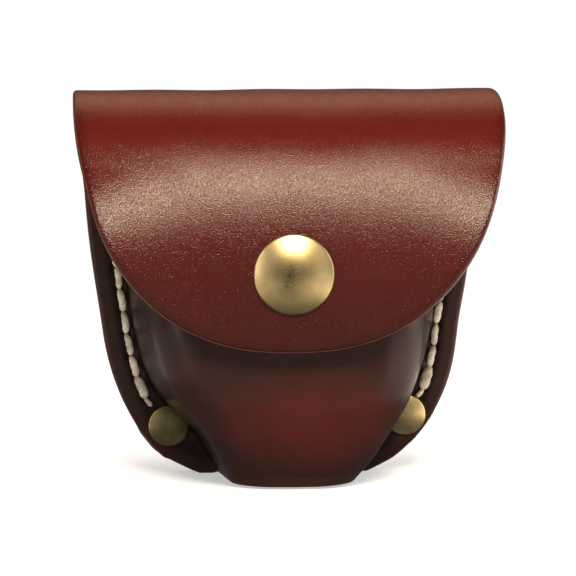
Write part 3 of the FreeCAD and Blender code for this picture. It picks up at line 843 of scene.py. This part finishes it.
def moulded_leather(tree, where, colours, grain):
    """The same hide shaped wet over a former and burnished: browner and glossier, with its grain
    pressed nearly flat. A painted pool of light makes the middle of the front redder, painted shade
    darkens the flange nearly to black in its recess, and its cut edge is lighter in a band that is
    partly rubbed wear and partly a painted highlight.
    """
    clouds = add(tree, "TexNoise", {"Vector": where, "Scale": 1.0 / (9.0 * MM), "Detail": 4.0})
    # Painted light: a soft pool of light on the lower middle of the front, mottled by the clouds, turns the
    # brown redder and lighter.
    centred = add(tree, "Mapping", {
        "Vector": where, "Location": [-c / r for c, r in zip(LIT_PATCH_CENTRE, LIT_PATCH_REACH)],
        "Scale": [1.0 / (r * MM) for r in LIT_PATCH_REACH]})
    spot = add(tree, "TexGradient", {"Vector": centred}, "Fac", gradient_type="SPHERICAL")
    lit_patch = add(tree, "Math", {0: spot, 1: clouds}, operation="MULTIPLY")
    red = add(tree, "MapRange", {0: lit_patch, 1: 0.02, 2: 0.34})
    body = add(tree, "Mix", {0: red, 6: rgba(colours.moulded), 7: rgba(colours.moulded_lit)}, **OF_COLOURS)
    # Painted shade: the flange darkens nearly to black in its recess behind the moulding.
    depth = add(tree, "SeparateXYZ", {0: where}, "Y")
    flange = add(tree, "MapRange", {0: depth, 1: REAR_Y - FLANGE_SHADE_FROM_DEPTH * MM,
                                    2: REAR_Y - FLANGE_SHADE_TO_DEPTH * MM, 4: 0.7})
    dark = add(tree, "Mix", {0: flange, 6: body, 7: rgba(colours.moulded, 0.25)}, **OF_COLOURS)
    # Partly rubbed wear and partly painted highlight: a lighter band along the cut edge, where the rounded
    # edge catches the light.
    gap = add(tree, "Attribute", None, "Fac", attribute_name="edge_gap")
    band = add(tree, "MapRange", {0: gap, 1: 1.2 * MM, 2: 2.4 * MM, 3: 0.75, 4: 0.0},
               interpolation_type="SMOOTHSTEP")
    base = add(tree, "Mix", {0: band, 6: dark, 7: rgba(colours.moulded, 1.5)}, **OF_COLOURS)
    pebbles = add(tree, "TexNoise", {"Vector": where, "Scale": 1.0 / grain, "Detail": 2.0})
    shine = add(tree, "Math", {0: clouds, 1: 0.14, 2: 0.25}, operation="MULTIPLY_ADD")
    slow = add(tree, "Bump", {"Height": clouds, "Distance": 0.25 * MM, "Strength": 0.5})
    fine = add(tree, "Bump", {"Height": pebbles, "Distance": 0.025 * MM, "Strength": 0.8, "Normal": slow})
    return {"Base Color": base, "Roughness": shine, "Normal": fine, "IOR": 1.42}


def flesh_leather(tree, where, colours):
    """The flesh side, dyed through and left rough: matt, with short matted fibres."""
    fibres = add(tree, "TexNoise", {"Vector": where, "Scale": 1.0 / (0.5 * MM), "Detail": 5.0,
                                    "Distortion": 1.5})
    base = add(tree, "Mix", {0: fibres, 6: rgba(colours.flesh, 0.55),
                             7: rgba(colours.flesh, 1.25)}, **OF_COLOURS)
    nap = add(tree, "Bump", {"Height": fibres, "Distance": 0.12 * MM, "Strength": 0.8})
    return {"Base Color": base, "Roughness": 0.9, "Normal": nap, "Sheen Weight": 0.15}


def burnished_edge(tree, where, colours):
    """The cut edge, rubbed with wax: layers of fibre show as faint lines along it."""
    layers = add(tree, "TexNoise", {"Vector": where, "Scale": 1.0 / (0.8 * MM), "Detail": 3.0})
    base = add(tree, "Mix", {0: layers, 6: rgba(colours.edge, 0.25), 7: rgba(colours.edge)}, **OF_COLOURS)
    rub = add(tree, "Bump", {"Height": layers, "Distance": 0.05 * MM, "Strength": 0.6})
    return {"Base Color": base, "Roughness": 0.42, "Normal": rub, "IOR": 1.5}


def waxed_thread(tree, where, colours):
    """Waxed linen thread: off-white plies with dirt in their furrows and a dull wax sheen."""
    fibres = add(tree, "TexNoise", {"Vector": where, "Scale": 1.0 / (0.35 * MM), "Detail": 3.0})
    dirt_and_dark_reflection = add(tree, "TexNoise", {"Vector": where, "Scale": 1.0 / (3.0 * MM), "Detail": 2.0})
    grime = add(tree, "Math", {0: fibres, 1: dirt_and_dark_reflection}, operation="MULTIPLY")
    amount = add(tree, "MapRange", {0: grime, 1: 0.12, 2: 0.34})
    base = add(tree, "Mix", {0: amount, 6: rgba(colours.thread, 0.45),
                             7: rgba(colours.thread)}, **OF_COLOURS)
    ply = add(tree, "Bump", {"Height": fibres, "Distance": 0.05 * MM, "Strength": 0.8})
    return {"Base Color": base, "Roughness": 0.6, "Normal": ply, "Sheen Weight": 0.1}


def pressed_brass(tree, where, colour, dull, roughness, dark_reflection=0.0):
    """Pressed brass: a satin gold with faint handling marks, duller where the lacquer has gone, and
    a dark upright patch painted in the middle of the snap's cap as a dark reflection.
    """
    stains = add(tree, "TexNoise", {"Vector": where, "Scale": 1.0 / (4.0 * MM), "Detail": 3.0,
                                    "Distortion": 0.6})
    tarnish = add(tree, "MapRange", {0: stains, 1: 0.42, 2: 0.68, 4: dull})
    marks = add(tree, "TexNoise", {"Vector": where, "Scale": 1.0 / (0.4 * MM), "Detail": 4.0})
    # Painted reflection: a dark upright patch in the middle of the snap's cap, mottled by the handling
    # marks, stands for the dark front that the dome mirrors.
    x, z = DARK_REFLECTION_CENTRE
    across, up = DARK_REFLECTION_REACH
    pressed = add(tree, "Mapping", {"Vector": where, "Location": (-x / across, 0.0, -z / up),
                                    "Scale": (1.0 / (across * MM), 0.0, 1.0 / (up * MM))})
    spot = add(tree, "TexGradient", {"Vector": pressed}, "Fac", gradient_type="SPHERICAL")
    dirt_and_dark_reflection = add(tree, "Math", {0: spot, 1: marks}, operation="MULTIPLY")
    tarnish_and_dark_reflection = add(tree, "Math", {0: dirt_and_dark_reflection, 1: dark_reflection, 2: tarnish}, operation="MULTIPLY_ADD", use_clamp=True)
    base = add(tree, "Mix", {0: tarnish_and_dark_reflection, 6: rgba(colour), 7: rgba(colour, 0.3)}, **OF_COLOURS)
    low, high = roughness
    shine = add(tree, "Math", {0: stains, 1: high - low, 2: low}, operation="MULTIPLY_ADD")
    wear = add(tree, "Bump", {"Height": marks, "Distance": 0.01 * MM, "Strength": 0.6})
    return {"Base Color": base, "Metallic": 1.0, "Roughness": shine, "Normal": wear}


def spring_wire(tree, where):
    """Drawn steel wire: a grey metal with fine drawing lines that blur its shine."""
    lines = add(tree, "TexNoise", {"Vector": where, "Scale": 1.0 / (0.2 * MM), "Detail": 2.0})
    shine = add(tree, "Math", {0: lines, 1: 0.12, 2: 0.26}, operation="MULTIPLY_ADD")
    return {"Base Color": rgba(linear("#a9a9a4")), "Metallic": 1.0, "Roughness": shine}


def hide_materials(scene):
    """A hide's finished face, its flesh side and its cut edge."""
    colours = scene.pouch_colours
    return [made_of("oxblood bridle leather", bridle_leather, colours, scene.pouch_sizes.grain),
            made_of("leather flesh side", flesh_leather, colours),
            made_of("burnished leather edge", burnished_edge, colours)]


def cad_finish(nodes, material):
    """Gives a material to pieces that are shown as their CAD solids."""
    for node in nodes:
        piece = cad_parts[node]
        piece.data.materials.clear()
        piece.data.materials.append(material)


# ---- operators ----

class PieceOperator:
    """What the operators share: each one's build makes its pieces with the scene's settings."""

    def execute(self, context):
        self.build(context.scene, context.scene.pouch_sizes, context.scene.pouch_colours)
        return {"FINISHED"}


class POUCH_OT_hide(PieceOperator, Operator):
    """Back panel, fold and flap: one hide, in two meshes that meet on top of the flap"""
    bl_idname = "pouch.hide"
    bl_label = "Hide"

    def build(self, scene, sizes, colours):
        edge = sizes.edge_round
        materials = hide_materials(scene)
        flat = back_patch(edge / MM)[:, ::-1]
        points, normals = on_hide(flat[..., 0], flat[..., 1])
        back = leather_sheet("hide_back", points, LEATHER * MM, edge, materials, normals, True)
        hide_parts("back_panel", "flap_top")
        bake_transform(back)
        flat = flap_patch(edge / MM)
        points, normals = on_hide(flat[..., 0], flat[..., 1])
        flap = leather_sheet("hide_flap", points, LEATHER * MM, edge, materials, normals, True)
        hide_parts("flap_front")
        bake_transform(flap)


class POUCH_OT_moulded_front(PieceOperator, Operator):
    """Wet moulded front, with its flange, its open throat and its pressed-in seams"""
    bl_idname = "pouch.moulded_front"
    bl_label = "Moulded front"

    def build(self, scene, sizes, colours):
        edge = sizes.edge_round
        moulded = made_of("wet moulded leather", moulded_leather, colours, sizes.grain)
        materials = [moulded] + hide_materials(scene)[1:]
        front = leather_sheet("moulded_front", front_grid(edge / MM), LEATHER * MM, edge, materials)
        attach(front, "pouch")
        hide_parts("front_panel")


class POUCH_OT_seams(PieceOperator, Operator):
    """Saddle stitched side seams"""
    bl_idname = "pouch.seams"
    bl_label = "Side seams"

    def build(self, scene, sizes, colours):
        material = made_of("waxed linen thread", waxed_thread, colours)
        for side in (-1, 1):
            seam = stitches("seam_" + SIDE_NAMES[side], seam_runs(side),
                            sizes.thread_width, [material])
            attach(seam, "pouch")
            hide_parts("seam_thread_" + SIDE_NAMES[side])


class POUCH_OT_belt_loop(PieceOperator, Operator):
    """Belt loop on the back, with a row of stitches at each end"""
    bl_idname = "pouch.belt_loop"
    bl_label = "Belt loop"

    def build(self, scene, sizes, colours):
        edge = sizes.edge_round
        strap = leather_sheet("belt_strap", loop_grid(edge / MM), LOOP_LEATHER * MM, edge,
                              hide_materials(scene))
        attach(strap, "pouch")
        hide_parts("belt_loop")
        material = made_of("waxed linen thread", waxed_thread, colours)
        for end, z in (("top", LOOP_TOP_Z - LOOP_ROW_GAP), ("bottom", LOOP_BOTTOM_Z + LOOP_ROW_GAP)):
            row = stitches("loop_stitches_" + end, loop_rows(z), sizes.thread_width, [material])
            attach(row, "pouch")
            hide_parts("loop_thread_" + end)


class POUCH_OT_snap(PieceOperator, Operator):
    """Brass snap: its domed cap outside, and its socket, spring, stud and eyelet inside"""
    bl_idname = "pouch.snap"
    bl_label = "Snap"

    def build(self, scene, sizes, colours):
        # The last value sets the painted dark reflection in the middle of the cap.
        brass = made_of("lacquered brass", pressed_brass, colours.brass,
                        0.25, (0.27, 0.4), 1.7)
        profile = button_profile(CAP_RADIUS, FLAP_DEPTH - 0.8, FLAP_DEPTH + 0.9, CAP_TOP_DEPTH, 0.42, 2.0)
        cap = lathe("snap_button", profile, SNAP_X, SNAP_Z, [brass])
        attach(cap, "front")
        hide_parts("snap_cap")
        cad_finish(("snap_socket", "snap_stud", "snap_eyelet"), brass)
        cad_finish(("snap_spring",), made_of("drawn steel wire", spring_wire))


class POUCH_OT_rivets(PieceOperator, Operator):
    """Brass rivets at the two lower corners"""
    bl_idname = "pouch.rivets"
    bl_label = "Rivets"

    def build(self, scene, sizes, colours):
        # Painted light: the rivets' brass is given as a lit copy on the right and a shaded copy on the
        # left.
        aged = made_of("aged brass in painted shade", pressed_brass, colours.shaded_brass, 0.5, (0.28, 0.48))
        bright = made_of("worn brass with painted light", pressed_brass, colours.lit_brass, 0.4, (0.26, 0.42))
        for side, brass in ((-1, aged), (1, bright)):
            name = SIDE_NAMES[side]
            profile = button_profile(RIVET_RADIUS, FLANGE_DEPTH - 0.4, RIVET_TOP_DEPTH - 0.5,
                                     RIVET_TOP_DEPTH, 0.35, 2.2)
            cap = lathe("rivet_button_" + name, profile, *RIVETS[side], [brass])
            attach(cap, "pouch")
            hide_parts("rivet_cap_" + name)
            cad_finish(("rivet_post_" + name,), brass)


class POUCH_OT_stage(PieceOperator, Operator):
    """Pale floor that sweeps up behind, soft lights, and the camera"""
    bl_idname = "pouch.stage"
    bl_label = "Stage"

    def build(self, scene, sizes, colours):
        make_floor()
        make_lights(scene)
        make_camera(scene)
        scene.view_settings.view_transform = "Standard"


def make_floor():
    """A pale round floor and the bowl that it fades into: a disc, a quarter circle and a dome.

    Radius and height follow a quarter ellipse beyond the disc. Neither is seen in reflections,
    as if black cards stood round the pouch, and only the floor gives bounced light.
    """
    turn = np.linspace(0.0, 2.0 * np.pi, 97)[None, :]
    rise = np.linspace(0.0, 0.5 * np.pi, 40)
    for name, radius, height in (
            ("paper_floor", np.linspace(0.002, 0.5, 12), np.zeros(12)),
            ("paper_bowl", np.concatenate([[0.49], 0.5 + 1.5 * np.sin(rise), 2.0 * np.cos(rise[1:])]),
             np.concatenate([[-0.002], 0.5 * (1.0 - np.cos(rise)), 0.5 + 1.5 * np.sin(rise[1:])]))):
        radius, height = radius[:, None], height[:, None]
        grid = np.stack(np.broadcast_arrays(radius * np.cos(turn), radius * np.sin(turn), height), -1)
        sheet = new_piece(name, grid, grid_faces(*grid.shape[:2])[:, ::-1],
                          [made_of("matt studio paper", studio_paper)])
        sheet.active_material.cycles.emission_sampling = "NONE"
        sheet.visible_glossy = False
        sheet.visible_diffuse = name == "paper_floor"
        sheet.visible_shadow = name == "paper_floor"


PAPER_GLOW, PAPER_LEVEL = 0.45, 1.0


def studio_paper(tree, where):
    """Matt white background paper, glowing a little below the pouch and evenly away from it."""
    reach = add(tree, "VectorMath", {0: where}, "Value", operation="LENGTH")
    away = add(tree, "MapRange", {0: reach, 1: 0.10, 2: 0.42}, interpolation_type="SMOOTHSTEP")
    base = add(tree, "Mix", {0: away, 6: rgba(linear("#e6edf6")), 7: rgba(BLACK)}, **OF_COLOURS)
    glow = add(tree, "MapRange", {0: away, 3: PAPER_GLOW, 4: PAPER_LEVEL})
    return {"Base Color": base, "Roughness": 0.95, "Emission Strength": glow, "Emission Color": rgba(WHITE)}


def aim(thing, spot, target, roll=0.0):
    """Stands a light or camera at a spot and turns it to a target."""
    away = Vector(target) - Vector(spot)
    thing.rotation_mode = "QUATERNION"
    thing.location = spot
    turned = Quaternion((0.0, 0.0, 1.0), math.radians(roll))
    thing.rotation_quaternion = away.to_track_quat("-Z", "Y") @ turned


def from_angles(target, azimuth, elevation, distance):
    """A spot at a distance from the target, by its turn to the right and its height in degrees."""
    a, e = math.radians(azimuth), math.radians(elevation)
    step = Vector((math.sin(a) * math.cos(e), -math.cos(a) * math.cos(e), math.sin(e)))
    return Vector(target) + step * distance


# Each light's name, azimuth, elevation, distance, width, height, power and colour.
LIGHTS = (
    ("window", 5.0, 41.0, 0.9, 0.32, 0.25, 9.8, "#ffeacc"),
    ("overhead", -5.0, 72.0, 0.8, 0.6, 0.5, 5.8, "#fff0e0"),
    ("strip_left", -48.0, 10.0, 0.9, 0.16, 0.6, 1.1, "#fff6ec"),
    ("strip_right", 42.0, 10.0, 0.9, 0.12, 0.6, 0.35, "#fff6ec"),
    ("side_right", 92.0, 14.0, 0.8, 0.5, 0.5, 3.4, "#fff2e2"),
    ("strip_behind", 180.0, 40.0, 0.8, 0.8, 0.3, 0.95, "#ffc9a0"),
    ("rear_fill", 165.0, 18.0, 0.9, 0.5, 0.4, 1.6, "#fff2e2"),
)


def make_lamp(scene, name, width, height, power, colour):
    """A rectangular area light that the camera doesn't see."""
    light = bpy.data.lights.new(name, "AREA")
    light.color = linear(colour)
    light.shape, light.size, light.size_y, light.energy = "RECTANGLE", width, height, power
    lamp = bpy.data.objects.new(name, light)
    lamp.visible_camera = False
    scene.collection.objects.link(lamp)
    return lamp


# White cards that lie on the table and shine up: name, x, y, width, depth and power.
CARDS = (
    ("card_front", 0.0, -0.16, 0.5, 0.2, 0.13),
    ("card_right", 0.14, -0.02, 0.18, 0.2, 0.17),
    ("card_left", -0.14, -0.02, 0.18, 0.2, 0.05),
)


def make_lights(scene):
    """All lights round the pouch, and a faint white sky."""
    centre = (0.0, 0.0, 0.04)
    for name, azimuth, elevation, distance, width, height, power, colour in LIGHTS:
        lamp = make_lamp(scene, name, width, height, power, colour)
        lamp.visible_glossy = name not in ("overhead", "rear_fill")
        aim(lamp, from_angles(centre, azimuth, elevation, distance), centre)
    for name, x, y, width, height, power in CARDS:
        aim(make_lamp(scene, name, width, height, power, "#ffeedd"), (x, y, 0.003), (x, y, 1.0))
    world = bpy.data.worlds.new("studio")
    world.use_nodes = True
    sky = world.node_tree.nodes["Background"].inputs
    sky["Color"].default_value, sky["Strength"].default_value = rgba(WHITE), 0.09
    scene.world = world


def make_camera(scene):
    """A long lens a little to the left of the front and above it, rolled by a fifth of a degree."""
    data = bpy.data.cameras.new("view")
    data.sensor_width, data.lens = 36.0, 195.75
    data.clip_start, data.clip_end = 0.01, 50.0
    camera = bpy.data.objects.new("view", data)
    scene.collection.objects.link(camera)
    target = (0.0001, REAR_Y - 20.0 * MM, 0.0376)
    aim(camera, from_angles(target, -3.628, 5.221, 0.5967), target, -0.2)
    scene.camera = camera


# ---- panel and registration ----

PIECE_OPERATORS = (
    POUCH_OT_hide, POUCH_OT_moulded_front, POUCH_OT_seams, POUCH_OT_belt_loop,
    POUCH_OT_snap, POUCH_OT_rivets, POUCH_OT_stage,
)


class POUCH_PT_panel(Panel):
    """Sizes, colours and pieces of the pouch"""
    bl_idname = "POUCH_PT_panel"
    bl_label = "Pouch"
    bl_space_type = "VIEW_3D"
    bl_region_type = "UI"
    bl_category = "Pouch"

    def draw(self, context):
        for group in (context.scene.pouch_sizes, context.scene.pouch_colours):
            box = self.layout.box()
            for key in group.__annotations__:
                box.prop(group, key)
        for operator in PIECE_OPERATORS:
            self.layout.operator(operator.bl_idname)


CLASSES = (PouchSizes, PouchColours) + PIECE_OPERATORS + (POUCH_PT_panel,)


def register():
    for kind in CLASSES:
        bpy.utils.register_class(kind)
    bpy.types.Scene.pouch_sizes = PointerProperty(type=PouchSizes)
    bpy.types.Scene.pouch_colours = PointerProperty(type=PouchColours)


def unregister():
    del bpy.types.Scene.pouch_colours
    del bpy.types.Scene.pouch_sizes
    for kind in reversed(CLASSES):
        bpy.utils.unregister_class(kind)


def main():
    register()
    for operator in PIECE_OPERATORS:
        getattr(bpy.ops.pouch, operator.bl_idname.split(".")[1])()


if __name__ == "__main__":
    main()
